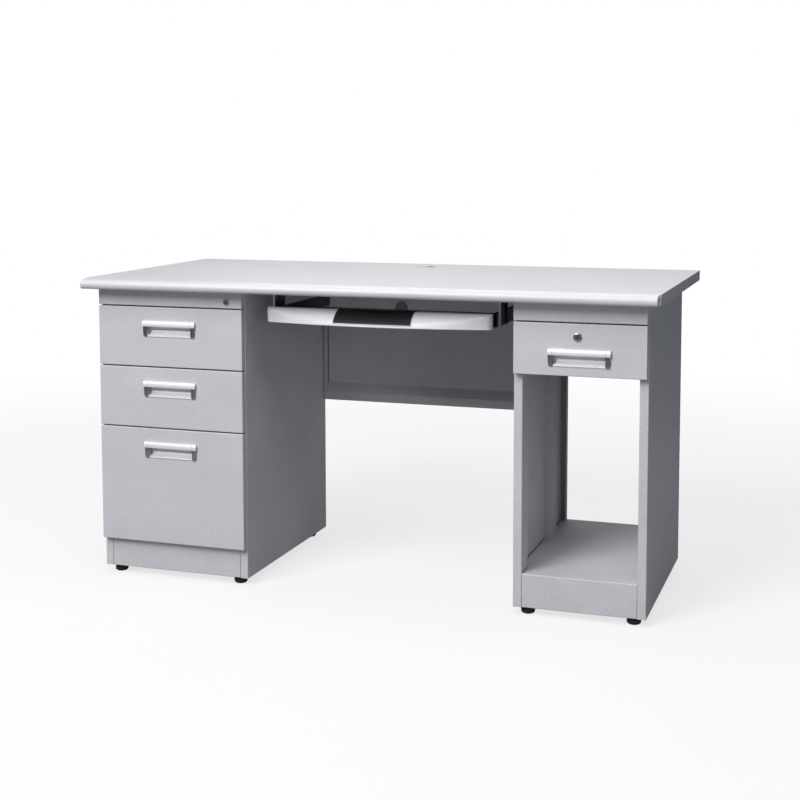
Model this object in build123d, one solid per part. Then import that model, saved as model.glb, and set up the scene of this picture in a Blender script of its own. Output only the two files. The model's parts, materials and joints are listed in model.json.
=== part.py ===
from build123d import *
import os

# Teacher desk: two sheet-steel pedestals under a laminated top with a rounded front nose.
# Frame: millimetres, +X to the sitter's left-to-right, +Y to the back, +Z up.
# Origin: on the floor, under the middle of the desktop.

# ---- driving dimensions -------------------------------------------------------------------
TOP_LENGTH, TOP_DEPTH, TOP_HEIGHT, TOP_THICKNESS = 1400.0, 700.0, 740.0, 25.0
SHEET = 1.0                       # pedestal sheet steel
HEAVY_SHEET = 1.5                 # brackets
BEND = 2.0                        # outside bend radius of the folded sheet

PEDESTAL_FRONT, PEDESTAL_BACK, PEDESTAL_BOTTOM = -290.0, 230.0, 18.0
LEFT_PEDESTAL = (-672.0, -284.0)  # x range
RIGHT_PEDESTAL = (372.0, 672.0)
FLANGE, LIP_DEPTH, REAR_FLANGE, REAR_LIP = 20.0, 57.0, 15.0, 20.0
SEAM_STEP = 0.4                   # the plinth skirt sits this far behind the flanges

FACE_Y, FACE_DEPTH, FACE_INSET, FACE_GAP, FACE_LIP = -307.0, 16.0, 2.0, 3.0, 12.0
LEFT_SEAMS = (673.5, 525.5, 375.5)     # middle of each gap between the stacked fronts
LEFT_LOWEST_FRONT = 91.0
RIGHT_SEAM, RIGHT_LOWEST_FRONT = 671.0, 553.0
LEFT_FLOOR, RIGHT_FLOOR = 88.0, 95.5   # top of each base pan

RUNNER_WIDTH, RUNNER_HEIGHT, RUNNER_LENGTH, RUNNER_FRONT = 12.7, 35.0, 350.0, -287.0
RUNNER_SHEET = 1.2
POST_Y = (23.0, 79.0)
BOX_BACK = 70.0

HANDLE_WIDTH, HANDLE_HEIGHT, HANDLE_CAP = 140.0, 40.5, 10.0
HANDLE_BAR, HANDLE_BAR_PROUD, HANDLE_RIM = 13.0, 6.0, 1.5
SCOOP_RADIUS, SCOOP_DROP = 14.0, 3.0
LEFT_HANDLE_DROP, RIGHT_HANDLE_RISE = 32.5, 20.0   # from a front's top edge, from its bottom edge

NOSE_START, NOSE_TIP, NOSE_TIP_DROP, NOSE_UNDER, NOSE_INSET = -318.0, -350.0, 14.0, -337.0, 4.0
NOSE_SLOPE = 0.2                  # fall of the nose where it leaves the desktop
EDGE_BAND = 2.0

GROMMET = (0.0, 245.0)
GROMMET_FLANGE, GROMMET_BORE, GROMMET_HOLE = 30.0, 24.5, 27.0   # radii
GROMMET_RECESS = 2.0              # depth of the step that the flange lies in
NOTCH_HALF, NOTCH_START, NOTCH_TURN = 11.0, 8.0, -20.0   # the cap's cable notch

MODESTY_FRONT, MODESTY_FACE = 217.0, 229.0
MODESTY_BOTTOM, MODESTY_LIP_TOP, MODESTY_FACE_BOTTOM, MODESTY_RIM = 375.0, 397.0, 421.0, 8.0
CABLE_CAP = (-64.0, 631.0, 15.0)       # x, z, hole radius

TRAY_CENTRE = (LEFT_PEDESTAL[1] + RIGHT_PEDESTAL[0]) / 2
TRAY_HALF, TRAY_FASCIA_HALF = 264.0, 275.0
TRAY_TOP, TRAY_BACK, TRAY_RIM_TOP = 655.0, -23.0, 676.0
TRAY_FASCIA_Z = (645.0, 680.0)
TRAY_FASCIA_BACK, TRAY_FASCIA_TOP_Y, TRAY_BOW, TRAY_END_BOW = -268.0, -283.0, 40.0, 3.0
TRAY_FASCIA_CORNER = 12.0         # radius of the fascia's ends in plan
TRAY_INSERT_HALF, TRAY_INSERT_BOTTOM = 95.0, 651.0
TRAY_RUNNER_HEIGHT, TRAY_RUNNER_LENGTH, TRAY_RUNNER_FRONT, TRAY_RUNNER_Z = 27.0, 350.0, -243.0, 660.5
TRAY_ARM_BACK = 100.0             # the shelf's side walls run back past its floor
HANGER_Y = ((-229.0, -167.0), (48.0, 110.0))
HANGER_BOTTOM, HANGER_FLANGE, HANGER_HEM = 647.0, 30.0, 5.5

LEFT_LOCK = (-325.0, 690.0, 8.5)       # x, z, rim radius
RIGHT_LOCK = (518.5, 639.5, 10.5)

FOOT_RADIUS, FOOT_ROUND, FOOT_STEM, FOOT_CLEARANCE = 16.0, 6.5, 4.0, 0.06
FOOT_INSET_X, FOOT_Y, FOOT_RETURN = 30.0, (-265.0, 186.0), 62.0

UNDERSIDE = TOP_HEIGHT - TOP_THICKNESS
nodes = {}


# ---- shared shapes ------------------------------------------------------------------------
def block(x, y, z):
    """A box from three (low, high) ranges."""
    centre = [(low + high) / 2 for low, high in (x, y, z)]
    return Pos(*centre) * Box(*[high - low for low, high in (x, y, z)])


def rod_y(x, z, radius, y):
    """A round bar along Y."""
    bar = Rot(90, 0, 0) * Cylinder(radius, y[1] - y[0])
    return Pos(x, (y[0] + y[1]) / 2, z) * bar


def rod_z(x, y, radius, z):
    return Pos(x, y, (z[0] + z[1]) / 2) * Cylinder(radius, z[1] - z[0])


def folded_sheet(points, side, thickness=SHEET, bend=BEND):
    """The section of a folded sheet whose outer line runs through the points."""
    with BuildSketch() as section:
        with BuildLine():
            FilletPolyline(*points, radius=bend)
            offset(amount=thickness, side=side)
        make_face()
    return section.sketch


def upright(section, z):
    return Pos(0, 0, z[0]) * extrude(section, amount=z[1] - z[0])


def along_y(points, y):
    """A polygon of (x, z) points, extruded from the first y to the second."""
    face = make_face(Polyline(*[(px, 0, pz) for px, pz in points], close=True))
    return extrude(Pos(0, y[0], 0) * face, amount=y[1] - y[0], dir=(0, 1, 0))


def along_x(points, x):
    """A polygon of (y, z) points, extruded from the first x to the second."""
    face = make_face(Polyline(*[(0, py, pz) for py, pz in points], close=True))
    return extrude(Pos(x[0], 0, 0) * face, amount=x[1] - x[0], dir=(1, 0, 0))


def save(name, shape):
    nodes[name] = shape


# ---- desktop ------------------------------------------------------------------------------
def desktop():
    side, back = TOP_LENGTH / 2, TOP_DEPTH / 2
    slab = (UNDERSIDE, TOP_HEIGHT)
    board = block((EDGE_BAND - side, side - EDGE_BAND), (NOSE_START, back - EDGE_BAND), slab)
    board -= rod_z(*GROMMET, GROMMET_HOLE, (UNDERSIDE - 1, TOP_HEIGHT + 1))
    board -= rod_z(*GROMMET, GROMMET_FLANGE, (TOP_HEIGHT - GROMMET_RECESS, TOP_HEIGHT + 1))
    save("desktop_board", board)

    ends = [block(x, (NOSE_START, back), slab)
            for x in ((-side, EDGE_BAND - side), (side - EDGE_BAND, side))]
    rear = block((EDGE_BAND - side, side - EDGE_BAND), (back - EDGE_BAND, back), slab)
    save("desktop_edge_bands", Compound(children=[*ends, rear]))

    tip_z = TOP_HEIGHT - NOSE_TIP_DROP
    fall = Spline((NOSE_START, TOP_HEIGHT), (NOSE_TIP, tip_z), tangents=((-1, -NOSE_SLOPE), (0, -1)))
    under = Spline((NOSE_TIP, tip_z), (NOSE_UNDER, UNDERSIDE), tangents=((0, -1), (1, 0)))
    rest = Polyline((NOSE_UNDER, UNDERSIDE), (NOSE_START, UNDERSIDE), (NOSE_START, TOP_HEIGHT))
    section = Plane.YZ * make_face([fall, under, rest])
    length = TOP_LENGTH - 2 * NOSE_INSET
    save("desktop_nose", Pos(-length / 2, 0, 0) * extrude(section, amount=length, dir=(1, 0, 0)))


def grommet():
    """A cable outlet let in flush with the top, with a notched cap that turns in it."""
    x, y = GROMMET
    seat = TOP_HEIGHT - GROMMET_RECESS
    sleeve = rod_z(x, y, GROMMET_HOLE - 0.1, (UNDERSIDE + 1, seat))
    sleeve += rod_z(x, y, GROMMET_FLANGE - 0.1, (seat, TOP_HEIGHT))
    sleeve -= rod_z(x, y, GROMMET_BORE, (UNDERSIDE, TOP_HEIGHT + 1))
    sleeve -= rod_z(x, y, GROMMET_BORE + 1.8, (seat - 0.7, TOP_HEIGHT + 1))
    save("grommet_sleeve", sleeve)

    cap = rod_z(x, y, GROMMET_BORE + 1.5, (seat - 0.65, TOP_HEIGHT - 0.3))
    cap = chamfer(cap.edges().group_by(Axis.Z)[-1], 0.4)
    notch = block((-NOTCH_HALF, NOTCH_HALF), (NOTCH_START, GROMMET_FLANGE), (seat - 2, TOP_HEIGHT + 1))
    notch = fillet(notch.edges().filter_by(Axis.Z).group_by(Axis.Y)[0], 7)
    save("grommet_cap", cap - Pos(x, y, 0) * Rot(0, 0, NOTCH_TURN) * notch)


# ---- pedestals ----------------------------------------------------------------------------
def side_panel(wall, inward, rear_lip):
    """A side sheet with a channel folded at its front edge and a flange at its back edge.

    wall is the outer face's x, and inward is +1 or -1 towards the inside of the pedestal.
    """
    front, back = PEDESTAL_FRONT, PEDESTAL_BACK
    points = [(wall + inward * FLANGE, front + LIP_DEPTH), (wall + inward * FLANGE, front),
              (wall, front), (wall, back), (wall + inward * REAR_FLANGE, back)]
    if rear_lip:
        points.append((wall + inward * REAR_FLANGE, back - REAR_LIP))
    side = Side.RIGHT if inward > 0 else Side.LEFT
    return upright(folded_sheet(points, side), (PEDESTAL_BOTTOM, UNDERSIDE))


def base_pan(pedestal, floor_top, rear_reach):
    """An inverted folded pan: a floor, a skirt at the front and back, and returns for the feet.

    rear_reach is how far the rear skirt stays from the outside of each side panel.
    """
    front, back, bottom = PEDESTAL_FRONT + SEAM_STEP, PEDESTAL_BACK - 2, PEDESTAL_BOTTOM
    inner = (pedestal[0] + FLANGE, pedestal[1] - FLANGE)
    wall = (pedestal[0] + SHEET, pedestal[1] - SHEET)
    rear = (pedestal[0] + rear_reach, pedestal[1] - rear_reach)
    fold = [(front + FOOT_RETURN, bottom), (front, bottom), (front, floor_top), (back, floor_top),
            (back, bottom), (back - FOOT_RETURN, bottom)]
    section = Plane.YZ * folded_sheet(fold, Side.RIGHT)
    pan = Pos(inner[0], 0, 0) * extrude(section, amount=inner[1] - inner[0], dir=(1, 0, 0))
    floor = (floor_top - SHEET, floor_top)
    pan += block(wall, (PEDESTAL_FRONT + LIP_DEPTH + 1, PEDESTAL_BACK - REAR_LIP - 1), floor)
    pan += block(rear, (back - SHEET, back), (bottom + BEND, floor_top - BEND))
    pan += block(rear, (PEDESTAL_BACK - REAR_LIP - 1, back - BEND), floor)
    for x, y in foot_places(pedestal):
        pan += rod_z(x, y, 8.0, (bottom, bottom + 12))
    for x, y in foot_places(pedestal):
        pan -= rod_z(x, y, FOOT_STEM + FOOT_CLEARANCE, (bottom - 1, bottom + 13))
    return pan


def foot_places(pedestal):
    return [(x, y) for x in (pedestal[0] + FOOT_INSET_X, pedestal[1] - FOOT_INSET_X) for y in FOOT_Y]


def foot(x, y):
    """A round levelling glide on a threaded stem."""
    pad = rod_z(x, y, FOOT_RADIUS, (0, 11))
    pad = fillet(pad.edges().filter_by(GeomType.CIRCLE).group_by(Axis.Z)[0], FOOT_ROUND)
    pad += Pos(x, y, 13.5) * Cone(FOOT_RADIUS, FOOT_RADIUS - 5, 5)
    return pad + rod_z(x, y, FOOT_STEM, (15, 44))


def runner_post(wall, inward):
    """A channel post that carries the rear ends of the drawer runners."""
    inner, crown = wall + inward * SHEET, wall + inward * FLANGE
    y0, y1 = POST_Y
    points = [(inner, y0), (crown, y0), (crown, y1), (inner, y1)]
    side = Side.LEFT if inward > 0 else Side.RIGHT
    return folded_sheet(points, side)


def cross_rail(pedestal, y, web_at_front, web_bottom):
    """An angle under the desktop between the two side panels."""
    x = (pedestal[0] + FLANGE, pedestal[1] - FLANGE)
    rail = block(x, y, (UNDERSIDE - HEAVY_SHEET, UNDERSIDE))
    web = (y[0], y[0] + HEAVY_SHEET) if web_at_front else (y[1] - HEAVY_SHEET, y[1])
    return rail + block(x, web, (web_bottom, UNDERSIDE))


def pan_front(x, z):
    """A folded front pan with rounded outer edges and a narrow lip turned in behind."""
    y = (FACE_Y, FACE_Y + FACE_DEPTH)
    outer = block(x, y, z)
    rounded = outer.faces().sort_by(Axis.Y)[0].edges() + outer.edges().filter_by(Axis.Y)
    outer = fillet(rounded, BEND)
    inside = [(low + SHEET, high - SHEET) for low, high in (x, z)]
    mouth = [(low + FACE_LIP, high - FACE_LIP) for low, high in (x, z)]
    pan = outer - block(inside[0], (y[0] + SHEET, y[1] - SHEET), inside[1])
    return pan - block(mouth[0], (y[1] - 2 * SHEET, y[1] + 1), mouth[1])


def pedestals():
    for name, pedestal, lip in (("left", LEFT_PEDESTAL, False), ("right", RIGHT_PEDESTAL, True)):
        outer, inner = (pedestal[0], pedestal[1]) if name == "left" else (pedestal[1], pedestal[0])
        turn = 1 if name == "left" else -1
        save(f"{name}_outer_side", side_panel(outer, turn, lip))
        save(f"{name}_inner_side", side_panel(inner, -turn, lip))
    back = (LEFT_PEDESTAL[0] + BEND, LEFT_PEDESTAL[1] - BEND)
    save("left_back_panel", block(back, (PEDESTAL_BACK - 2, PEDESTAL_BACK - 1),
                                  (PEDESTAL_BOTTOM + 2, UNDERSIDE - 1)))
    save("left_base_pan", base_pan(LEFT_PEDESTAL, LEFT_FLOOR, FLANGE))
    right_base = base_pan(RIGHT_PEDESTAL, RIGHT_FLOOR, REAR_FLANGE)
    for wall, inward in ((RIGHT_PEDESTAL[0], 1), (RIGHT_PEDESTAL[1], -1)):
        reach = sorted((wall, wall + inward * FLANGE))
        right_base -= block(reach, (POST_Y[0] - 0.5, POST_Y[1] + 0.5), (RIGHT_FLOOR - 2, RIGHT_FLOOR + 1))
    save("right_base_pan", right_base)

    frames = []
    for pedestal, low in ((LEFT_PEDESTAL, LEFT_FLOOR), (RIGHT_PEDESTAL, PEDESTAL_BOTTOM + 2)):
        for wall, inward in ((pedestal[0], 1), (pedestal[1], -1)):
            frames.append(upright(runner_post(wall, inward), (low, UNDERSIDE - HEAVY_SHEET)))
        front = cross_rail(pedestal, (PEDESTAL_FRONT + 3, PEDESTAL_FRONT + 33), True, 677.0)
        rear = cross_rail(pedestal, (PEDESTAL_BACK - 52, PEDESTAL_BACK - 22), False, 677.0)
        if pedestal == LEFT_PEDESTAL:
            front -= rod_y(*LEFT_LOCK[:2], 8.2, (PEDESTAL_FRONT, PEDESTAL_FRONT + 10))
        frames += [front, rear]
    save("pedestal_frames", Compound(children=frames))

    left_fascia = pan_front((LEFT_PEDESTAL[0] + FACE_INSET, LEFT_PEDESTAL[1] - FACE_INSET),
                            (LEFT_SEAMS[0] + FACE_GAP / 2, UNDERSIDE - 0.2))
    barrel_hole = rod_y(*LEFT_LOCK[:2], 8.2, (FACE_Y - 1, FACE_Y + FACE_DEPTH + 1))
    save("left_fascia", left_fascia - barrel_hole)
    save("right_fascia", pan_front((RIGHT_PEDESTAL[0] + FACE_INSET, RIGHT_PEDESTAL[1] - FACE_INSET),
                                   (RIGHT_SEAM + FACE_GAP / 2, UNDERSIDE - 0.2)))
    for name, pedestal in (("left", LEFT_PEDESTAL), ("right", RIGHT_PEDESTAL)):
        for number, place in enumerate(foot_places(pedestal), 1):
            save(f"{name}_foot_{number}", foot(*place))


def modesty_panel():
    """A pan between the pedestals, with a bottom lip, a sloping wall and a recessed face."""
    x = (LEFT_PEDESTAL[1], RIGHT_PEDESTAL[0])
    front, face, t = MODESTY_FRONT, MODESTY_FACE, SHEET
    low, lip, start, top = MODESTY_BOTTOM, MODESTY_LIP_TOP, MODESTY_FACE_BOTTOM, UNDERSIDE
    outline = [(front, low), (front + t, low), (front + t, lip), (face + t, start), (face + t, top),
               (front, top), (front, top - t), (face, top - t), (face, start), (front, lip)]
    panel = along_x(outline, x)
    for wall, inward in ((x[0], 1), (x[1], -1)):
        rim = sorted((wall, wall + inward * MODESTY_RIM))
        panel -= block(rim, (front - 1, face + 2), (lip, top + 1))
        panel += block(rim, (front, front + t), (lip, top))
        cheek = sorted((wall + inward * MODESTY_RIM, wall + inward * (MODESTY_RIM - t)))
        panel += along_x([(front, lip), (face + t, start), (face + t, top), (front, top)], cheek)
    x_hole, z_hole, radius = CABLE_CAP
    save("modesty_panel", panel - rod_y(x_hole, z_hole, radius, (face - 1, face + 2)))
    cap = rod_y(x_hole, z_hole, radius + 1, (face - 2, face))
    save("modesty_cable_cap", cap + rod_y(x_hole, z_hole, radius - 0.1, (face, face + 5)))


# ---- runners ------------------------------------------------------------------------------
def channel(wall, inward, z, y, web, tip, half_height):
    """A C-shaped runner member; web and tip are distances from the fixing face."""
    t = RUNNER_SHEET if tip > web else -RUNNER_SHEET
    inner = half_height - RUNNER_SHEET
    outline = [(web, half_height), (tip, half_height), (tip, inner), (web + t, inner),
               (web + t, -inner), (tip, -inner), (tip, -half_height), (web, -half_height)]
    return along_y([(wall + inward * u, z + w) for u, w in outline], y)


def runner_pair(walls, z, height, y):
    """Outer, middle and inner members of a pair of ball-bearing runners."""
    half, width = height / 2, RUNNER_WIDTH
    members = ([], [], [])
    for wall, inward in zip(walls, (1, -1)):
        members[0].append(channel(wall, inward, z, y, 0.0, 9.0, half))
        members[1].append(channel(wall, inward, z, (y[0] + 3, y[1] - 3), 3.5, 11.0, half - 3.0))
        members[2].append(channel(wall, inward, z, (y[0], y[1] - 6), width, 6.5, half - 6.5))
    return [Compound(children=pair) for pair in members]


# ---- drawers ------------------------------------------------------------------------------
def handle(x, z):
    """A recessed cup pull with a bar along its top. z is the middle of its height."""
    half_w, half_h = HANDLE_WIDTH / 2, HANDLE_HEIGHT / 2
    rim_y = FACE_Y - HANDLE_RIM
    rim = block((x - half_w, x + half_w), (rim_y, FACE_Y), (z - half_h, z + half_h))
    body = block((x - half_w + 3, x + half_w - 3), (FACE_Y, FACE_Y + SCOOP_RADIUS),
                 (z - half_h + 2.5, z + half_h - 2.5))
    reach = half_w - HANDLE_CAP
    scoop = Pos(x, rim_y, z - SCOOP_DROP) * (Rot(0, 90, 0) * Cylinder(SCOOP_RADIUS, 2 * reach))
    bar = block((x - half_w, x + half_w), (rim_y - HANDLE_BAR_PROUD, rim_y),
                (z + half_h - HANDLE_BAR, z + half_h))
    front_edges = bar.faces().sort_by(Axis.Y)[0].edges()
    return rim + body - scoop, fillet(front_edges, 2.5)


def drawer_box(x, z, front_top, front_bottom):
    """A folded box with a taller front wall that the front pan is fixed to."""
    y = (FACE_Y + FACE_DEPTH, BOX_BACK)
    box = block(x, y, z) - block((x[0] + SHEET, x[1] - SHEET), (y[0] + SHEET, y[1] - SHEET),
                                 (z[0] + SHEET, z[1] + 1))
    return box + block(x, (y[0], y[0] + SHEET), (front_bottom, front_top))


def drawer(name, pedestal, front_z, box_z, handle_z, runner_z):
    """Front pan, box, handle and runners of one drawer. Returns its outer runner members."""
    face_x = (pedestal[0] + FACE_INSET, pedestal[1] - FACE_INSET)
    middle = (pedestal[0] + pedestal[1]) / 2
    walls = (pedestal[0] + FLANGE, pedestal[1] - FLANGE)
    box_x = (walls[0] + RUNNER_WIDTH, walls[1] - RUNNER_WIDTH)
    front = pan_front(face_x, front_z)
    window = (HANDLE_WIDTH / 2 - 2.5, HANDLE_HEIGHT / 2 - 2.0)
    front -= block((middle - window[0], middle + window[0]), (FACE_Y - 1, FACE_Y + 5),
                   (handle_z - window[1], handle_z + window[1]))
    box = drawer_box(box_x, box_z, front_z[1] - 6, front_z[0] + 6)
    cup, bar = handle(middle, handle_z)
    if pedestal == RIGHT_PEDESTAL:
        hole = rod_y(*RIGHT_LOCK[:2], 9.2, (FACE_Y - 1, FACE_Y + FACE_DEPTH + 2))
        front, box = front - hole, box - hole
    outer, middle_member, inner = runner_pair(walls, runner_z, RUNNER_HEIGHT,
                                              (RUNNER_FRONT, RUNNER_FRONT + RUNNER_LENGTH))
    save(f"{name}_front", front)
    save(f"{name}_box", box)
    save(f"{name}_handle_cup", cup)
    save(f"{name}_handle_bar", bar)
    save(f"{name}_runners_middle", middle_member)
    save(f"{name}_runners_inner", inner)
    return outer


def drawers():
    """All four drawers. Returns their outer runner members, which stay in the pedestals."""
    gap = FACE_GAP / 2
    tops = [seam - gap for seam in LEFT_SEAMS]
    bottoms = [seam + gap for seam in LEFT_SEAMS[1:]] + [LEFT_LOWEST_FRONT]
    box_heights = (110.0, 110.0, 235.0)
    outers = []
    for name, top, bottom, height in zip(("upper", "middle", "lower"), tops, bottoms, box_heights):
        floor = bottom + 10
        outers.append(drawer(f"left_{name}", LEFT_PEDESTAL, (bottom, top), (floor, floor + height),
                             top - LEFT_HANDLE_DROP - HANDLE_HEIGHT / 2, floor + 0.5 * min(height, 110.0)))
    floor = RIGHT_LOWEST_FRONT + 10
    outers.append(drawer("right", RIGHT_PEDESTAL, (RIGHT_LOWEST_FRONT, RIGHT_SEAM - gap),
                         (floor, floor + 75), RIGHT_LOWEST_FRONT + RIGHT_HANDLE_RISE + HANDLE_HEIGHT / 2,
                         floor + 35))
    return outers


# ---- locks --------------------------------------------------------------------------------
def cam_lock(name, place, barrel, plug_radius, barrel_back, cam_length, cam_inward):
    """A cam lock: a fixed barrel with a rim, and a plug with its cam behind."""
    x, z, rim = place
    front = FACE_Y - 2.5
    collar = rod_y(x, z, rim, (front, FACE_Y))
    collar = chamfer(collar.edges().group_by(Axis.Y)[0], 1.2)
    body = collar + rod_y(x, z, barrel, (FACE_Y - 0.5, barrel_back))
    body -= rod_y(x, z, plug_radius + 0.05, (FACE_Y - 5, barrel_back + 1))
    save(f"{name}_lock_body", body)
    plug = rod_y(x, z, plug_radius, (front - 0.5, barrel_back + 0.3))
    plug = chamfer(plug.edges().group_by(Axis.Y)[0], 0.5)
    slot = (z - plug_radius * 0.65, z + plug_radius * 0.65)
    plug -= block((x - 0.8, x + 0.8), (front - 3, FACE_Y + 8), slot)
    tip = sorted((x - cam_inward * 6, x + cam_inward * cam_length))
    save(f"{name}_lock_plug", plug + block(tip, (barrel_back + 0.3, barrel_back + 2.3), (z - 6, z + 6)))


def locks():
    cam_lock("left", LEFT_LOCK, 8.0, 5.5, PEDESTAL_FRONT + 12, 16.0, -1)
    cam_lock("right", RIGHT_LOCK, 9.0, 6.5, PEDESTAL_FRONT + 7, 44.0, 1)


# ---- keyboard tray ------------------------------------------------------------------------
def fascia_loft(shrink):
    """The bowed fascia: straight along its top edge and curved forward along its bottom edge."""
    z0, z1 = TRAY_FASCIA_Z[0] - shrink, TRAY_FASCIA_Z[1] - shrink
    half = TRAY_FASCIA_HALF - shrink
    sections = []
    for step in range(-4, 5):
        share = step / 4
        bow = TRAY_END_BOW + (TRAY_BOW - TRAY_END_BOW) * (1 - share ** 2)
        top, foot_y = TRAY_FASCIA_TOP_Y + shrink, TRAY_FASCIA_TOP_Y - bow + shrink
        curve = Spline((top, z1), (foot_y, z0), tangents=((-1, -0.35), (0, -1)))
        rest = Polyline((foot_y, z0), (TRAY_FASCIA_BACK - shrink, z0), (TRAY_FASCIA_BACK - shrink, z1),
                        (top, z1))
        sections.append(Pos(TRAY_CENTRE + share * half, 0, 0) * (Plane.YZ * make_face([curve, rest])))
    return loft(sections)


def hanger(wall, outward, y):
    """A channel that hangs a tray runner from the desktop, with a screw flange at its top."""
    t, z = HEAVY_SHEET, (HANGER_BOTTOM, UNDERSIDE)
    hem = sorted((wall, wall + outward * HANGER_HEM))
    shape = block(sorted((wall, wall + outward * t)), y, z)
    shape += block(hem, (y[0], y[0] + t), z) + block(hem, (y[1] - t, y[1]), z)
    shape += block(sorted((wall, wall + outward * HANGER_FLANGE)), y, (UNDERSIDE - t, UNDERSIDE))
    for place in (y[0] + 14, y[1] - 14):
        shape -= Pos(wall, place, UNDERSIDE - 20) * (Rot(0, 90, 0) * Cylinder(3.5, 10))
    return shape


def keyboard_tray():
    """The pull-out tray under the desktop. Returns its outer runner members."""
    left, right = TRAY_CENTRE - TRAY_HALF, TRAY_CENTRE + TRAY_HALF
    t = RUNNER_SHEET
    shelf = block((left, right), (TRAY_FASCIA_BACK, TRAY_BACK), (TRAY_TOP - t, TRAY_TOP))
    for x in ((left, left + t), (right - t, right)):
        shelf += block(x, (TRAY_FASCIA_BACK, TRAY_ARM_BACK), (TRAY_FASCIA_Z[0] + 1, TRAY_RIM_TOP))
    shelf += block((left, right), (TRAY_BACK - t, TRAY_BACK), (TRAY_FASCIA_Z[0] + 1, TRAY_TOP))
    save("tray_shelf", shelf)

    corner = TRAY_FASCIA_TOP_Y - TRAY_END_BOW
    ends = (TRAY_CENTRE - TRAY_FASCIA_HALF, TRAY_CENTRE + TRAY_FASCIA_HALF)
    plan = block(ends, (corner, TRAY_FASCIA_BACK), TRAY_FASCIA_Z)
    plan = fillet(plan.edges().filter_by(Axis.Z).group_by(Axis.Y)[0], TRAY_FASCIA_CORNER)
    bowed = (ends[0] + TRAY_FASCIA_CORNER, ends[1] - TRAY_FASCIA_CORNER)
    plan += block(bowed, (corner - TRAY_BOW, corner), TRAY_FASCIA_Z)
    moulding = (fascia_loft(0) & plan) - fascia_loft(3.0)
    panel = block((TRAY_CENTRE - TRAY_INSERT_HALF, TRAY_CENTRE + TRAY_INSERT_HALF), (-330, -260),
                  (TRAY_INSERT_BOTTOM, TRAY_FASCIA_Z[1] + 1))
    panel -= block((TRAY_CENTRE - 200, TRAY_CENTRE + 200), (TRAY_FASCIA_BACK - 3.0, -200),
                   (TRAY_INSERT_BOTTOM - 1, TRAY_FASCIA_Z[1] + 2))
    save("tray_fascia", moulding - panel)
    save("tray_insert", moulding & panel)

    walls = (left - RUNNER_WIDTH, right + RUNNER_WIDTH)
    outer, middle, inner = runner_pair(walls, TRAY_RUNNER_Z, TRAY_RUNNER_HEIGHT,
                                       (TRAY_RUNNER_FRONT, TRAY_RUNNER_FRONT + TRAY_RUNNER_LENGTH))
    save("tray_runners_middle", middle)
    save("tray_runners_inner", inner)

    hangers = [hanger(wall, outward, y) for wall, outward in zip(walls, (-1, 1)) for y in HANGER_Y]
    save("tray_brackets", Compound(children=hangers))
    return outer


desktop()
grommet()
pedestals()
modesty_panel()
locks()
fixed_runners = [*drawers(), keyboard_tray()]
save("runners_outer", Compound(children=[member for pair in fixed_runners for member in pair.solids()]))

os.makedirs("parts", exist_ok=True)
for name, shape in nodes.items():
    export_step(shape, f"parts/{name}.step")
print(len(nodes), "nodes")
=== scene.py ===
import json
import math

import bmesh
import bpy
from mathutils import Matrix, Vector


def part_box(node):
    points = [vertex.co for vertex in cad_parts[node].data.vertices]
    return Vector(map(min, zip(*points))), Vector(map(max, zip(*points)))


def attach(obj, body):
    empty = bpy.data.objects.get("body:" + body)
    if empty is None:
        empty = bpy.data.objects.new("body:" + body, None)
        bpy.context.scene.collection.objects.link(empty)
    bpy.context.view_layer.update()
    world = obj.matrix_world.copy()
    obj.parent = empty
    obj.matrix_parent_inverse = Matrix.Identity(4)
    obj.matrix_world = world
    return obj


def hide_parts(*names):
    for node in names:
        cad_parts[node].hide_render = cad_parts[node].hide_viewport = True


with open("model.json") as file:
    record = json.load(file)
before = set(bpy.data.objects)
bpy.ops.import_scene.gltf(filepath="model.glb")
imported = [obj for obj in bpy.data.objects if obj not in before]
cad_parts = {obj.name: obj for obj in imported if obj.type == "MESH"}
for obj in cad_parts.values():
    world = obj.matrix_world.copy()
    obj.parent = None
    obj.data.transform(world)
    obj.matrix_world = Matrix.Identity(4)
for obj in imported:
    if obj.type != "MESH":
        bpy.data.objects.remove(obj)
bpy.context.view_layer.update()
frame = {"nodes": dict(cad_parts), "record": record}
nodes = frame["nodes"]
DRAWERS = ("left_upper", "left_middle", "left_lower", "right")
MM = 0.001
SHEET, HEAVY_SHEET = 1.0, 1.5      # the CAD model's sheet steel, in millimetres


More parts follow.
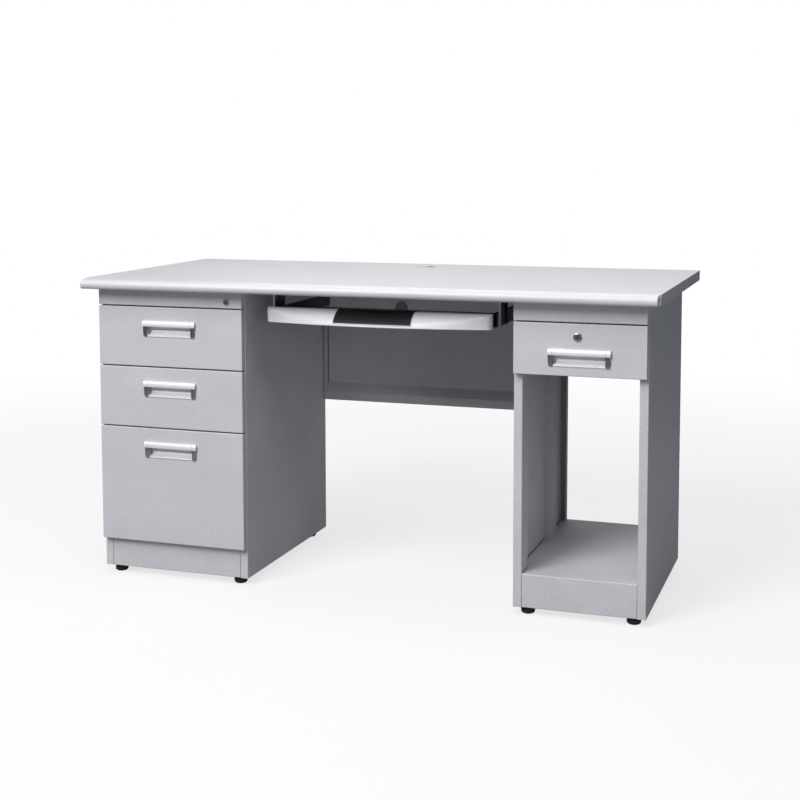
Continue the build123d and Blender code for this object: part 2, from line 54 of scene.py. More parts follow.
# ---- small node-tree helpers --------------------------------------------------------------
class Shader:
    """A material's node tree with a Principled shader, built a node at a time."""

    def __init__(self, name, roughness=0.4, metallic=0.0, specular=0.5):
        self.material = bpy.data.materials.new(name)
        self.material.use_nodes = True
        self.tree = self.material.node_tree
        self.bsdf = self.tree.nodes["Principled BSDF"]
        self.bsdf.inputs["Roughness"].default_value = roughness
        self.bsdf.inputs["Metallic"].default_value = metallic
        self.bsdf.inputs["Specular IOR Level"].default_value = specular
        self.coords = self.tree.nodes.new("ShaderNodeTexCoord").outputs["Object"]

    def link(self, source, target):
        self.tree.links.new(source, target)

    def scaled(self, scale):
        """Object coordinates stretched by three factors."""
        mapping = self.tree.nodes.new("ShaderNodeMapping")
        mapping.inputs["Scale"].default_value = scale
        self.link(self.coords, mapping.inputs["Vector"])
        return mapping.outputs["Vector"]

    def noise(self, scale, detail=2.0, roughness=0.5, stretch=None):
        """Noise from 0 to 1, stretched by three factors where they are given."""
        node = self.tree.nodes.new("ShaderNodeTexNoise")
        node.inputs["Scale"].default_value = scale
        node.inputs["Detail"].default_value = detail
        node.inputs["Roughness"].default_value = roughness
        self.link(self.scaled(stretch) if stretch else self.coords, node.inputs["Vector"])
        return node.outputs["Fac"]

    def cells(self, scale):
        """A random value in each of many small cells."""
        node = self.tree.nodes.new("ShaderNodeTexVoronoi")
        node.inputs["Scale"].default_value = scale
        self.link(self.coords, node.inputs["Vector"])
        return node.outputs["Color"]

    def ramp(self, value, stops):
        """Colour stops (position, colour) along a value."""
        node = self.tree.nodes.new("ShaderNodeValToRGB")
        points = node.color_ramp.elements
        points[0].position, points[0].color = stops[0][0], (*stops[0][1], 1)
        points[1].position, points[1].color = stops[-1][0], (*stops[-1][1], 1)
        for position, colour in stops[1:-1]:
            points.new(position).color = (*colour, 1)
        self.link(value, node.inputs["Fac"])
        return node.outputs["Color"]

    def mix(self, factor, first, second, blend="MIX"):
        """Mixes two colour sockets. A mix node's colours are inputs 6 and 7 and output 2."""
        node = self.tree.nodes.new("ShaderNodeMix")
        node.data_type, node.blend_type = "RGBA", blend
        node.inputs[0].default_value = factor
        self.link(first, node.inputs[6])
        self.link(second, node.inputs[7])
        return node.outputs[2]

    def map_range(self, value, low, high):
        """A value from 0 to 1, carried over to a range."""
        node = self.tree.nodes.new("ShaderNodeMapRange")
        node.inputs["To Min"].default_value, node.inputs["To Max"].default_value = low, high
        self.link(value, node.inputs["Value"])
        return node.outputs["Result"]

    def colour(self, source):
        self.link(source, self.bsdf.inputs["Base Color"])

    def roughness(self, source, low, high):
        self.link(self.map_range(source, low, high), self.bsdf.inputs["Roughness"])

    def bump(self, source, strength, height_mm):
        """Adds a bump on top of those made before."""
        node = self.tree.nodes.new("ShaderNodeBump")
        node.inputs["Strength"].default_value = strength
        node.inputs["Distance"].default_value = height_mm * MM
        self.link(source, node.inputs["Height"])
        previous = self.bsdf.inputs["Normal"]
        if previous.is_linked:
            self.link(previous.links[0].from_socket, node.inputs["Normal"])
        self.link(node.outputs["Normal"], previous)


def tones(colour, spread):
    """A darker and a lighter tone of a colour."""
    return [tuple(channel * factor for channel in colour) for factor in (1 - spread, 1 + spread)]


# ---- materials ----------------------------------------------------------------------------
def powder_coat(name, colour, roughness=0.42, peel=0.35):
    """Powder-coated steel: a fine orange peel, a faint mottle and tiny darker specks."""
    s = Shader(name, roughness)
    dark, light = tones(colour, 0.035)
    mottle = s.ramp(s.noise(9, 4), [(0.3, dark), (0.7, light)])
    specks = s.ramp(s.noise(1500, 2), [(0.30, (0.86, 0.86, 0.87)), (0.42, (1, 1, 1))])
    grain = s.ramp(s.noise(260, 2), [(0.3, (0.93, 0.93, 0.93)), (0.7, (1.05, 1.05, 1.05))])
    s.colour(s.mix(1.0, s.mix(1.0, mottle, grain, "MULTIPLY"), specks, "MULTIPLY"))
    s.roughness(s.noise(30, 3), roughness - 0.05, roughness + 0.05)
    s.bump(s.noise(420, 2), peel, 0.06)
    s.bump(s.noise(2200, 1), peel * 0.5, 0.02)
    return s.material


def laminate(name, colour, roughness=0.36):
    """High-pressure laminate: close light and dark flecks under a satin surface."""
    s = Shader(name, roughness)
    dark, light = tones(colour, 0.02)
    base = s.ramp(s.noise(5, 4), [(0.35, dark), (0.65, light)])
    flecks = s.ramp(s.cells(900), [(0.0, (0.90, 0.90, 0.91)), (0.25, (0.98, 0.98, 0.98)),
                                   (0.75, (1.0, 1.0, 1.0)), (1.0, (1.05, 1.05, 1.05))])
    s.colour(s.mix(0.75, base, s.mix(1.0, base, flecks, "MULTIPLY")))
    s.roughness(s.noise(40, 3), roughness - 0.04, roughness + 0.06)
    s.bump(s.noise(1400, 2), 0.25, 0.03)
    s.bump(s.noise(60, 2), 0.10, 0.08)
    return s.material


def moulded_plastic(name, colour, roughness=0.45, grain=0.35, specular=0.5):
    """Injection-moulded plastic with a fine spark-eroded grain."""
    s = Shader(name, roughness, specular=specular)
    dark, light = tones(colour, 0.04)
    s.colour(s.ramp(s.noise(25, 3), [(0.3, dark), (0.7, light)]))
    s.roughness(s.noise(120, 3), roughness - 0.06, roughness + 0.06)
    s.bump(s.noise(2600, 2), grain, 0.03)
    return s.material


def drawn_metal(name, colour, roughness=0.28, along=(6, 900, 900), streak=0.03, bump=0.12, metallic=1.0):
    """Drawn or brushed metal with streaks along one axis."""
    s = Shader(name, roughness, metallic=metallic)
    dark, light = tones(colour, streak)
    lines = s.noise(1, 3, 0.6, stretch=along)
    s.colour(s.ramp(lines, [(0.35, dark), (0.65, light)]))
    s.roughness(lines, roughness - 0.06, roughness + 0.08)
    s.bump(lines, bump, 0.02)
    return s.material


def plated_steel(name, colour, roughness=0.3):
    """Black-zinc steel with a cloudy passivated film and fine roll marks."""
    s = Shader(name, roughness, metallic=0.85)
    dark, light = tones(colour, 0.35)
    s.colour(s.ramp(s.noise(60, 4), [(0.3, dark), (0.7, light)]))
    s.roughness(s.noise(90, 3), roughness - 0.06, roughness + 0.12)
    s.bump(s.noise(1, 2, stretch=(900, 8, 900)), 0.15, 0.02)
    return s.material


def chrome(name, colour):
    """Satin plating with faint turning rings."""
    s = Shader(name, 0.2, metallic=1.0)
    dark, light = tones(colour, 0.03)
    s.colour(s.ramp(s.noise(200, 3), [(0.3, dark), (0.7, light)]))
    s.roughness(s.noise(400, 2), 0.16, 0.28)
    s.bump(s.noise(1800, 1), 0.08, 0.01)
    return s.material


MATERIALS = {
    "steel_paint": powder_coat("steel_paint", (0.600, 0.602, 0.625), 0.36),
    "inner_paint": powder_coat("inner_paint", (0.560, 0.562, 0.585), 0.5),
    "top_laminate": laminate("top_laminate", (0.69, 0.695, 0.715)),
    "nose_laminate": laminate("nose_laminate", (0.645, 0.647, 0.66), 0.38),
    "edge_band": moulded_plastic("edge_band", (0.60, 0.605, 0.63), 0.4, 0.2),
    "handle_chrome": drawn_metal("handle_chrome", (0.46, 0.465, 0.48), 0.24, (40, 40, 40), 0.04, 0.05),
    "handle_metal": drawn_metal("handle_metal", (0.79, 0.792, 0.80), 0.40, metallic=0.3),
    "runner_steel": plated_steel("runner_steel", (0.05, 0.05, 0.053)),
    "tray_paint": powder_coat("tray_paint", (0.03, 0.03, 0.032), 0.5, 0.6),
    "fascia_plastic": moulded_plastic("fascia_plastic", (0.69, 0.695, 0.72), 0.32, 0.12),
    "insert_plastic": moulded_plastic("insert_plastic", (0.009, 0.009, 0.0095), 0.48, 0.8, 0.3),
    "grommet_plastic": moulded_plastic("grommet_plastic", (0.62, 0.625, 0.64), 0.4, 0.3),
    "cable_cap_plastic": moulded_plastic("cable_cap_plastic", (0.20, 0.205, 0.215), 0.45, 0.4),
    "lock_chrome": chrome("lock_chrome", (0.56, 0.565, 0.575)),
    "foot_plastic": moulded_plastic("foot_plastic", (0.012, 0.012, 0.012), 0.5, 0.6),
}


def paint_cad_nodes():
    """Gives every CAD node the material of its slot in the record."""
    for part in frame["record"]["subparts"]:
        mesh = nodes[part["node"]].data
        mesh.materials.clear()
        mesh.materials.append(MATERIALS[part["material_slot"]])


# ---- mesh helpers -------------------------------------------------------------------------
# A shape is (points in millimetres, faces). Pieces are made of one or more shapes.
BEVEL_FROM = 40                    # degrees; an edge that turns by less stays as it is


def loft(rings):
    """A closed skin through rings with the same number of points, with a flat face at both ends."""
    count = len(rings[0])
    points = [point for ring in rings for point in ring]
    faces = [tuple(range(count)), tuple(range(len(points) - count, len(points)))]
    for start in range(0, len(points) - count, count):
        for i in range(count):
            j = (i + 1) % count
            faces.append((start + i, start + j, start + count + j, start + count + i))
    return points, faces


def prism(outline, axis, span):
    """A closed outline swept along an axis. Its points give the other two coordinates."""
    index = "xyz".index(axis)
    return loft([[(*point[:index], along, *point[index:]) for point in outline] for along in span])


def box(x, y, z):
    """A block from three (low, high) ranges."""
    return prism([(x[0], y[0]), (x[1], y[0]), (x[1], y[1]), (x[0], y[1])], "z", z)


def around(centre, axis, distance, radius, steps):
    """A ring of points about an axis. The radius is a number or a function of the angle."""
    axis = Vector(axis).normalized()
    across = axis.orthogonal().normalized()
    up = axis.cross(across)
    ring = []
    for i in range(steps):
        angle = 2 * math.pi * i / steps
        reach = radius(angle) if callable(radius) else radius
        ring.append(Vector(centre) + axis * distance
                    + (across * math.cos(angle) + up * math.sin(angle)) * reach)
    return ring


def turned(rings, centre, axis, steps=24):
    """A turned shape from (radius, distance along the axis) pairs."""
    return loft([around(centre, axis, distance, radius, steps) for radius, distance in rings])


def turned_hollow(rings, centre, axis, steps):
    """A turned ring: its last circle is joined to its first, instead of both being closed flat."""
    points, faces = turned(rings, centre, axis, steps)
    last = len(points) - steps
    bridge = [(last + i, last + (i + 1) % steps, (i + 1) % steps, i) for i in range(steps)]
    return points, faces[2:] + bridge


def tube(path, radius, steps=8):
    """A round bead along a path of points that never runs along the reference direction."""
    reference = Vector((0.2, 1, 0.3))
    path = [Vector(point) for point in path]
    rings = []
    for i, point in enumerate(path):
        ahead = (path[min(i + 1, len(path) - 1)] - path[max(i - 1, 0)]).normalized()
        side = ahead.cross(reference).normalized()
        up = side.cross(ahead)
        turns = [2 * math.pi * k / steps for k in range(steps)]
        rings.append([point + (side * math.cos(a) + up * math.sin(a)) * radius for a in turns])
    return loft(rings)


def ball(centre, radius):
    """A ball turned about Y, from five rings."""
    angles = [math.radians(degrees) for degrees in (-80, -45, 0, 45, 80)]
    return turned([(radius * math.cos(a), radius * math.sin(a)) for a in angles], centre, (0, 1, 0), 10)


def screw_head(centre, axis, radius=3.4):
    """A pan head with a cross recess."""
    arm, half, height = 0.56 * radius, 0.15 * radius, 0.5 * radius

    def cross(angle):
        long, short = sorted((abs(math.cos(angle)), abs(math.sin(angle))), reverse=True)
        return min(arm / long, half / max(short, 0.01))

    rings = [(radius * 0.97, 0), (radius, height * 0.25), (radius * 0.9, height * 0.62),
             (radius * 0.68, height * 0.92), (radius * 0.6, height), (cross, height),
             (lambda angle: cross(angle) * 0.8, height * 0.35)]
    return turned(rings, centre, axis)


def piece(name, shapes, slot, body, bevel=0.0, segments=2, smooth_angle=35):
    """Makes one mesh of the shapes, in its slot's material, riding on a body."""
    points, faces = [], []
    for shape_points, shape_faces in shapes:
        start = len(points)
        points += [Vector(point) * MM for point in shape_points]
        faces += [[start + i for i in face] for face in shape_faces]
    mesh = bpy.data.meshes.new(name)
    mesh.from_pydata(points, [], faces)
    mesh.materials.append(MATERIALS[slot])
    work = bmesh.new()
    work.from_mesh(mesh)
    bmesh.ops.recalc_face_normals(work, faces=work.faces)
    work.to_mesh(mesh)
    work.free()
    mesh.shade_smooth()
    mesh.set_sharp_from_angle(angle=math.radians(smooth_angle))
    made = bpy.data.objects.new(name, mesh)
    bpy.context.scene.collection.objects.link(made)
    if bevel:
        rounding = made.modifiers.new("rounded edges", "BEVEL")
        rounding.width, rounding.segments = bevel * MM, segments
        rounding.limit_method, rounding.angle_limit = "ANGLE", math.radians(BEVEL_FROM)
        rounding.harden_normals = True
    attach(made, body)
    return made


def corners(node):
    """A CAD node's box in millimetres."""
    low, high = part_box(node)
    return Vector(low) / MM, Vector(high) / MM


def middle_of(node):
    """The middle (x, y, z) of a CAD node's box in millimetres."""
    return [(low + high) / 2 for low, high in zip(*corners(node))]


def stations(low, high, count):
    """Evenly spaced values from low to high."""
    return [low + (high - low) * i / count for i in range(count + 1)]


def arc(centre, radius, start, end, steps):
    """Points on an arc. 0 degrees is along the first coordinate and 90 along the second."""
    angles = [math.radians(degrees) for degrees in stations(start, end, steps)]
    return [(centre[0] + radius * math.cos(a), centre[1] + radius * math.sin(a)) for a in angles]


# ---- handles ------------------------------------------------------------------------------
# Outlines are (y, z) from the drawer's face and the handle's middle. -y is towards the sitter.
GRIP = [(0, 20.2), (-3.6, 20.2), (-5.4, 19.4), (-6.5, 17.8), (-7.4, 7.6), (-7.3, 6.4), (-6.5, 5.7),
        (-5.5, 6.2), (-4.4, 9.0), (-2.5, 13.0), (0, 14.0)]
LIP = [(0, -14.4), (-1.4, -14.6), (-1.6, -15.2), (-0.2, -15.5), (-0.2, -16.4), (-1.5, -16.7),
       (-1.8, -17.2), (-1.6, -19.2), (-0.9, -19.9), (0, -20.2)]
CHEEK = [(-3.0, 16), (9, 12), (13.0, 3), (13.2, -4), (10, -11), (4, -15.5), (-3.0, -17)]
SCOOP_CENTRE, SCOOP_INSIDE, SCOOP_WALL = (-1.6, -1.0), 14.4, 1.2
SCOOP_START, SCOOP_END, SCOOP_STEPS = 84, -80, 26   # degrees, degrees, count
CUP_PROUD = 1.5                    # how far the CAD cup's rim stands in front of the face
CAP_WIDTH, CAP_JOINT = 11.0, 0.35  # the joint is the gap between a cap's top and the grip
CAP_TOP_SCALE = 1.05               # a cap's top stands a little in front of the grip
CHEEK_OUT, CHEEK_IN = 0.6, 1.0     # the cheek's thickness on each side of the joint
CAP_STATIONS = ((15.0, 2.8, 0.4), (8.0, 3.4, 0.4), (0.0, 3.3, 0.4), (-9.0, 2.9, 0.4), (-15.0, 2.6, 0.6),
                (-18.0, 2.3, 1.4), (-19.6, 1.9, 2.6), (-20.4, 1.4, 4.4))   # z, proud, inset


def cap_plan(inner_x, edge, inward, proud):
    """The (x, y) outline of a cap seen from above, from its joint to its rounded outer edge."""
    return [(inner_x, 0), (inner_x, 0.5 - proud), (inner_x - inward * 0.8, -proud),
            ((inner_x + edge) / 2, -proud - 0.4), (edge + inward * 1.2, 0.2 - proud),
            (edge, 1.2 - proud), (edge, 0)]


def handle(drawer):
    """A recessed cup pull: a satin bar and scoop between two plated end caps."""
    low, high = corners(f"{drawer}_handle_cup")
    face, middle = low.y + CUP_PROUD, (low.z + high.z) / 2
    inside = (low.x + CAP_WIDTH, high.x - CAP_WIDTH)
    body = f"{drawer}_drawer"

    def at(points):
        return [(face + y, middle + z) for y, z in points]

    grip = piece(f"{drawer}_grip", [prism(at(GRIP), "x", inside)], "handle_metal", body, bevel=0.4)
    inner = arc(SCOOP_CENTRE, SCOOP_INSIDE, SCOOP_START, SCOOP_END, SCOOP_STEPS)
    outer = arc(SCOOP_CENTRE, SCOOP_INSIDE + SCOOP_WALL, SCOOP_END, SCOOP_START, SCOOP_STEPS)
    scoop = [prism(at(inner + outer), "x", inside), prism(at(LIP), "x", inside)]
    cup = piece(f"{drawer}_scoop", scoop, "handle_metal", body)

    tops, caps = [], []
    for outer_x, inner_x, inward in ((low.x, inside[0], 1), (high.x, inside[1], -1)):
        top_x = sorted((outer_x, inner_x - inward * CAP_JOINT))
        tops.append(prism(at([(y * CAP_TOP_SCALE, z) for y, z in GRIP]), "x", top_x))
        skin = []
        for z, proud, inset in CAP_STATIONS:
            plan = cap_plan(inner_x, outer_x + inward * inset, inward, proud)
            skin.append([(x, face + y, middle + z) for x, y in plan])
        caps.append(loft(skin))
        cheek_x = sorted((inner_x - inward * CHEEK_OUT, inner_x + inward * CHEEK_IN))
        caps.append(prism(at(CHEEK), "x", cheek_x))
    piece(f"{drawer}_cap_tops", tops, "handle_metal", body, bevel=0.7, segments=3)
    piece(f"{drawer}_caps", caps, "handle_chrome", body, smooth_angle=50)
    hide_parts(f"{drawer}_handle_bar")
    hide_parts(f"{drawer}_handle_cup")


# ---- keyboard tray front ------------------------------------------------------------------
TRAY_LOW, TRAY_HIGH = corners("tray_fascia")
TRAY_MIDDLE, TRAY_HALF = (TRAY_LOW.x + TRAY_HIGH.x) / 2, (TRAY_HIGH.x - TRAY_LOW.x) / 2
TRAY_BOTTOM, TRAY_TOP, TRAY_BACK = TRAY_LOW.z, TRAY_HIGH.z, TRAY_HIGH.y
TRAY_BROW = -283.0                 # y of the front's top edge, which runs straight
END_BOW, MIDDLE_BOW = 3.0, 40.0    # how far the bottom edge stands in front of the brow
END_ROUND, TRAY_WALL = 12.0, 3.0
TRAY_INSIDE = TRAY_BACK - TRAY_WALL
TRAY_LIP = ((1.4, 0), (-0.2, 0.3), (-0.9, 1.2), (-0.9, 2.6))   # (y, z) from the front's bottom edge
TRAY_LIP_WIDTH, BROW_SETBACK = 1.6, 0.9
INSERT_HALF, INSERT_BOTTOM = 94.5, 651.5
INSERT_PROUD = (0.3, 0.5, 0.5, 1.6, 1.6, 0.6)   # rows from the bottom: the rim, then a rib
INSERT_FACE, INSERT_WALL, INSERT_RISE, INSERT_SUNK = 0.5, 1.6, 0.3, 1.0
INSERT_EDGE, INSERT_TURN = 0.2, 0.4   # the face's end below the top, and the top's start behind the brow
INSERT_ROWS, INSERT_COLUMNS = 16, 40
BEAD_RADIUS, BEAD_SUNK, BEAD_OUT = 1.3, 0.4, 0.6


def tray_curve(x, steps=22):
    """The front's (y, z) section at x, from the bottom edge to the brow: a cubic curve.

    The bottom edge is bowed, and the whole section is set back in the rounded ends.
    """
    share = (x - TRAY_MIDDLE) / TRAY_HALF
    inset = max(0.0, END_ROUND - TRAY_HALF * (1 - abs(share)))
    turn = END_ROUND - math.sqrt(END_ROUND ** 2 - inset ** 2)
    foot = Vector((TRAY_BROW - END_BOW - (MIDDLE_BOW - END_BOW) * (1 - share ** 2), TRAY_BOTTOM))
    brow = Vector((TRAY_BROW, TRAY_TOP))
    reach = (brow - foot).length / 3
    above_foot = foot + Vector((0, 1)) * reach
    before_brow = brow - Vector((1, 0.35)).normalized() * reach
    section = []
    for i in range(steps + 1):
        t = i / steps
        point = (foot * (1 - t) ** 3 + above_foot * 3 * t * (1 - t) ** 2
                 + before_brow * 3 * t ** 2 * (1 - t) + brow * t ** 3)
        section.append((min(point.x + turn, TRAY_INSIDE), point.y))
    return section


def tray_front_y(x, z):
    """How far forward the tray's front reaches at x and z."""
    section = tray_curve(x)
    for (y0, z0), (y1, z1) in zip(section, section[1:]):
        if z <= z1:
            return y0 + (y1 - y0) * (z - z0) / (z1 - z0)
    return section[-1][0]


def tray_section(x):
    """The moulding's outer (y, z) section at x: its lip, its front, and its top and back.

    The lip stands in for the curve's first three points, and a small setback for its last.
    """
    curve = tray_curve(x)
    lip = [(curve[0][0] + y, TRAY_BOTTOM + z) for y, z in TRAY_LIP]
    back = [(curve[-1][0] + BROW_SETBACK, TRAY_TOP), (TRAY_BACK, TRAY_TOP), (TRAY_BACK, TRAY_BOTTOM)]
    return lip, curve[3:-1], back


def tray_moulding():
    """A bowed hollow moulding with rounded ends that are closed by a thin wall."""
    ends = [END_ROUND * (1 - math.cos(math.radians(degrees))) for degrees in range(0, 90, 15)]
    left, right = TRAY_MIDDLE - TRAY_HALF, TRAY_MIDDLE + TRAY_HALF
    xs = [left + inset for inset in ends]
    xs += stations(left + END_ROUND, right - END_ROUND, 60)
    xs += [right - inset for inset in reversed(ends)]

    shell = []
    for x in xs:
        lip, front, back = tray_section(x)
        lining = [(min(y + TRAY_WALL, TRAY_INSIDE - 0.1), min(z, TRAY_TOP - TRAY_WALL))
                  for y, z in reversed([lip[-1], *front])]
        hollow = [(TRAY_INSIDE, TRAY_BOTTOM), (TRAY_INSIDE, TRAY_TOP - TRAY_WALL), *lining,
                  (lip[0][0] + TRAY_LIP_WIDTH, TRAY_BOTTOM)]
        shell.append([(x, y, z) for y, z in [*lip, *front, *back, *hollow]])
    shapes = [loft(shell)]
    for ends_x in ((xs[0], xs[2]), (xs[-3], xs[-1])):
        walls = [[(x, y, z) for part in tray_section(x) for y, z in part] for x in ends_x]
        shapes.append(loft(walls))
    moulding = piece("tray_moulding", shapes, "fascia_plastic", "keyboard_tray")
    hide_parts("tray_fascia")


def tray_bead():
    """The raised bead down both sides of the insert and along its bottom edge."""
    left, right = TRAY_MIDDLE - INSERT_HALF, TRAY_MIDDLE + INSERT_HALF
    places = [(left - BEAD_OUT, z) for z in stations(TRAY_TOP - BEAD_OUT, INSERT_BOTTOM, 14)]
    places += [(x, INSERT_BOTTOM - BEAD_OUT) for x in stations(left, right, 30)]
    places += [(right + BEAD_OUT, z) for z in stations(INSERT_BOTTOM, TRAY_TOP - BEAD_OUT, 14)]
    path = [(x, tray_front_y(x, z) - BEAD_SUNK, z) for x, z in places]
    piece("tray_bead", [tube(path, BEAD_RADIUS)], "fascia_plastic", "keyboard_tray")


def tray_insert():
    """A black insert with a rib near its bottom edge, carried over the moulding's top."""
    rows = stations(INSERT_BOTTOM, TRAY_TOP - INSERT_EDGE, INSERT_ROWS)
    proud = [*INSERT_PROUD, *[INSERT_FACE] * (len(rows) - len(INSERT_PROUD))]
    top, behind = TRAY_TOP + INSERT_RISE, TRAY_TOP - INSERT_SUNK
    back_y = TRAY_INSIDE - INSERT_SUNK
    rings = []
    for x in stations(TRAY_MIDDLE - INSERT_HALF, TRAY_MIDDLE + INSERT_HALF, INSERT_COLUMNS):
        face = [(x, tray_front_y(x, z) - out, z) for z, out in zip(rows, proud)]
        over = [(x, TRAY_BROW + INSERT_TURN, top), (x, TRAY_INSIDE, top), (x, TRAY_INSIDE, behind)]
        back = [(x, min(y + INSERT_WALL, back_y), min(z, behind)) for x, y, z in reversed(face)]
        rings.append(face + over + back)
    insert = piece("tray_grip_insert", [loft(rings)], "insert_plastic", "keyboard_tray")
    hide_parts("tray_insert")


# ---- runners and drawer boxes -------------------------------------------------------------
MEMBER_MIDDLE = 4.5                # from a middle member's outer side to its balls
BALL_RADIUS, BALL_ROW_INSET, BALL_END, BALL_GAPS = 1.15, 2.35, 4, 14
RETAINER_HALF_WIDTH, RETAINER_HALF_HEIGHT, RETAINER_END = 1.3, 0.3, 4
RETAINER_WEB, RETAINER_WEB_LENGTH = (2.8, 3.2), 18   # the web's two sides, outward from the balls


def ball_cages(node, body):
    """Two rows of balls in a thin retainer inside each middle runner member."""
    low, high = corners(node)
    middle = (low.z + high.z) / 2
    row = (high.z - low.z) / 2 - BALL_ROW_INSET
    start, end = low.y + RETAINER_END, high.y - RETAINER_END
    balls, strips = [], []
    for x, outward in ((low.x + MEMBER_MIDDLE, -1), (high.x - MEMBER_MIDDLE, 1)):
        width = (x - RETAINER_HALF_WIDTH, x + RETAINER_HALF_WIDTH)
        for z in (middle - row, middle + row):
            places = stations(start + BALL_END, end - BALL_END, BALL_GAPS)
            balls += [ball((x, y, z), BALL_RADIUS) for y in places]
            strips.append(box(width, (start, end), (z - RETAINER_HALF_HEIGHT, z + RETAINER_HALF_HEIGHT)))
        web = sorted(x + outward * distance for distance in RETAINER_WEB)
        strips.append(box(web, (start, start + RETAINER_WEB_LENGTH), (middle - row, middle + row)))
    name = node.replace("_runners_middle", "")
    piece(f"{name}_runner_balls", balls, "lock_chrome", body)
    piece(f"{name}_ball_retainers", strips, "lock_chrome", body)


BOX_SIDE_TOP = {"left_upper": 647.0, "left_middle": 497.0, "left_lower": 336.0, "right": 638.0}   # z
HEM_RADIUS, HEM_INSET, HEM_END, HEM_STEPS = 1.3, 1.2, 1.6, 10
RIB = [(-4, 0), (-2.6, 0.9), (2.6, 0.9), (4, 0), (4, -0.2), (-4, -0.2)]   # (y, z) on the box's floor
RIB_END, RIB_MARGIN = 22, 60       # from the box's sides, and from its front and back
FRONT_SCREW_X, FRONT_SCREW_Z = 25, 18   # from the box's sides, and from its floor and side tops


def drawer_details(drawer):
    """Rolled hems along the box's edges, floor ribs, and the screws that hold the front."""
    low, high = corners(f"{drawer}_box")
    top = BOX_SIDE_TOP[drawer]
    body = f"{drawer}_drawer"
    left, right = low.x + HEM_INSET, high.x - HEM_INSET
    back = high.y - HEM_INSET
    hems = [tube([(x, low.y + HEM_INSET, top), (x, high.y - HEM_END, top)], HEM_RADIUS, HEM_STEPS)
            for x in (left, right)]
    hems.append(tube([(left, back, top), (right, back, top)], HEM_RADIUS, HEM_STEPS))
    for y in stations(low.y + RIB_MARGIN, high.y - RIB_MARGIN, 3):
        ridge = [(y + dy, low.z + SHEET + dz) for dy, dz in RIB]
        hems.append(prism(ridge, "x", (low.x + RIB_END, high.x - RIB_END)))
    piece(f"{drawer}_box_hems", hems, "inner_paint", body)

    heads = [screw_head((x, low.y + SHEET, z), (0, 1, 0))
             for x in (low.x + FRONT_SCREW_X, high.x - FRONT_SCREW_X)
             for z in (low.z + FRONT_SCREW_Z, top - FRONT_SCREW_Z)]
    piece(f"{drawer}_front_screws", heads, "lock_chrome", body)


# ---- fixings of the desk's frame ----------------------------------------------------------
# A hanger's insets are taken from the outer edge of its flange.
HANGER_SCREW_INSET, HANGER_SCREW_Y = 15, (-216, -180, 61, 97)
HANGER_WALL_INSET, HANGER_WALL_SCREW_Y, HANGER_WALL_SCREW_Z = 28.5, (-198, 79), 700.0
HANGER_HEM_INSET, HANGER_HEM_Y, HANGER_HEM_Z = (24.7, 30), (-229.3, 47.7), (647.5, 713.0)
HANGER_HEM_THICKNESS, SMALL_SCREW = 0.35, 2.6   # the screw's size is its head's radius
BACK_PANEL_SCREW_X, BACK_PANEL_SCREW_Z = (-664.5, -291.5), (60, 370, 680)
RAIL_SCREW_X, RAIL_SCREW_Y = (-622, -334, 422, 622), (-268, 190)


def desktop_screws():
    """Screws of the tray hangers, the left back panel and the cross rails under the desktop."""
    low, high = corners("tray_brackets")
    under_flange = high.z - HEAVY_SHEET
    heads = []
    for edge, inward in ((low.x, 1), (high.x, -1)):
        heads += [screw_head((edge + inward * HANGER_SCREW_INSET, y, under_flange), (0, 0, -1))
                  for y in HANGER_SCREW_Y]
        wall = edge + inward * HANGER_WALL_INSET
        heads += [screw_head((wall, y, HANGER_WALL_SCREW_Z), (inward, 0, 0), SMALL_SCREW)
                  for y in HANGER_WALL_SCREW_Y]
    back = corners("left_outer_side")[1].y
    heads += [screw_head((x, back, z), (0, 1, 0)) for x in BACK_PANEL_SCREW_X for z in BACK_PANEL_SCREW_Z]
    heads += [screw_head((x, y, under_flange), (0, 0, -1)) for x in RAIL_SCREW_X for y in RAIL_SCREW_Y]
    piece("desktop_screws", heads, "lock_chrome", "desk")


def bracket_hem_highlights():
    """Light strips on the front hems of the tray hangers: a painted highlight, so the hems look lit
    though the nose shades them.
    """
    low, high = corners("tray_brackets")
    hems = []
    for edge, inward in ((low.x, 1), (high.x, -1)):
        x = sorted(edge + inward * distance for distance in HANGER_HEM_INSET)
        hems += [box(x, (y, y + HANGER_HEM_THICKNESS), HANGER_HEM_Z) for y in HANGER_HEM_Y]
    piece("bracket_hem_highlights", hems, "handle_metal", "desk")


# ---- narrow gaps: thin dark strips, painted shade where each gap shows as a dark line -----
PLINTH_SEAM, PLINTH_SEAM_Y = (19.2, 19.7), (-289.8, -288.9)   # insets from the pan's ends, y
FLOOR_GAPS = ((19, 1.6, (-288, -233.5)), (0, 2.4, (-231.5, 22)), (0, 2.4, (80, 208)))   # inset, width, y
FLOOR_GAP_SUNK, FLOOR_GAP_PROUD = 0.5, 0.15
MODESTY_GAPS = ((0.05, 1.6, 216.75, 0.5), (9.0, 10.6, 228.5, 40))   # two insets, front y, bottom
MODESTY_GAP_DEPTH = 0.45
GAP_BOTTOM, GAP_TOP = 0.5, 2.0     # how far a plinth or modesty gap stops short of its part's edges
RING_STEPS, GAP_SHADE_STEPS = 48, 64
GAP_SHADE_RADII, GAP_SHADE_DEPTHS = (26.06, 26.26), (2.6, 0.5)   # the depths are below the desktop
NOSE_SEAM = ((-1.9, -0.7), (-1.8, -0.12), (-0.9, -0.01), (-0.1, -0.03), (-0.1, -0.5))   # y, z


def plinth_seam_shades():
    """Thin dark strips, painted shade, in the joints between each plinth skirt and the flanges at its
    ends.
    """
    seams = []
    for node in ("left_base_pan", "right_base_pan"):
        low, high = corners(node)
        for edge, inward in ((low.x, 1), (high.x, -1)):
            x = sorted(edge + inward * distance for distance in PLINTH_SEAM)
            seams.append(box(x, PLINTH_SEAM_Y, (low.z + GAP_BOTTOM, high.z - GAP_TOP)))
    piece("plinth_seam_shades", seams, "insert_plastic", "desk")


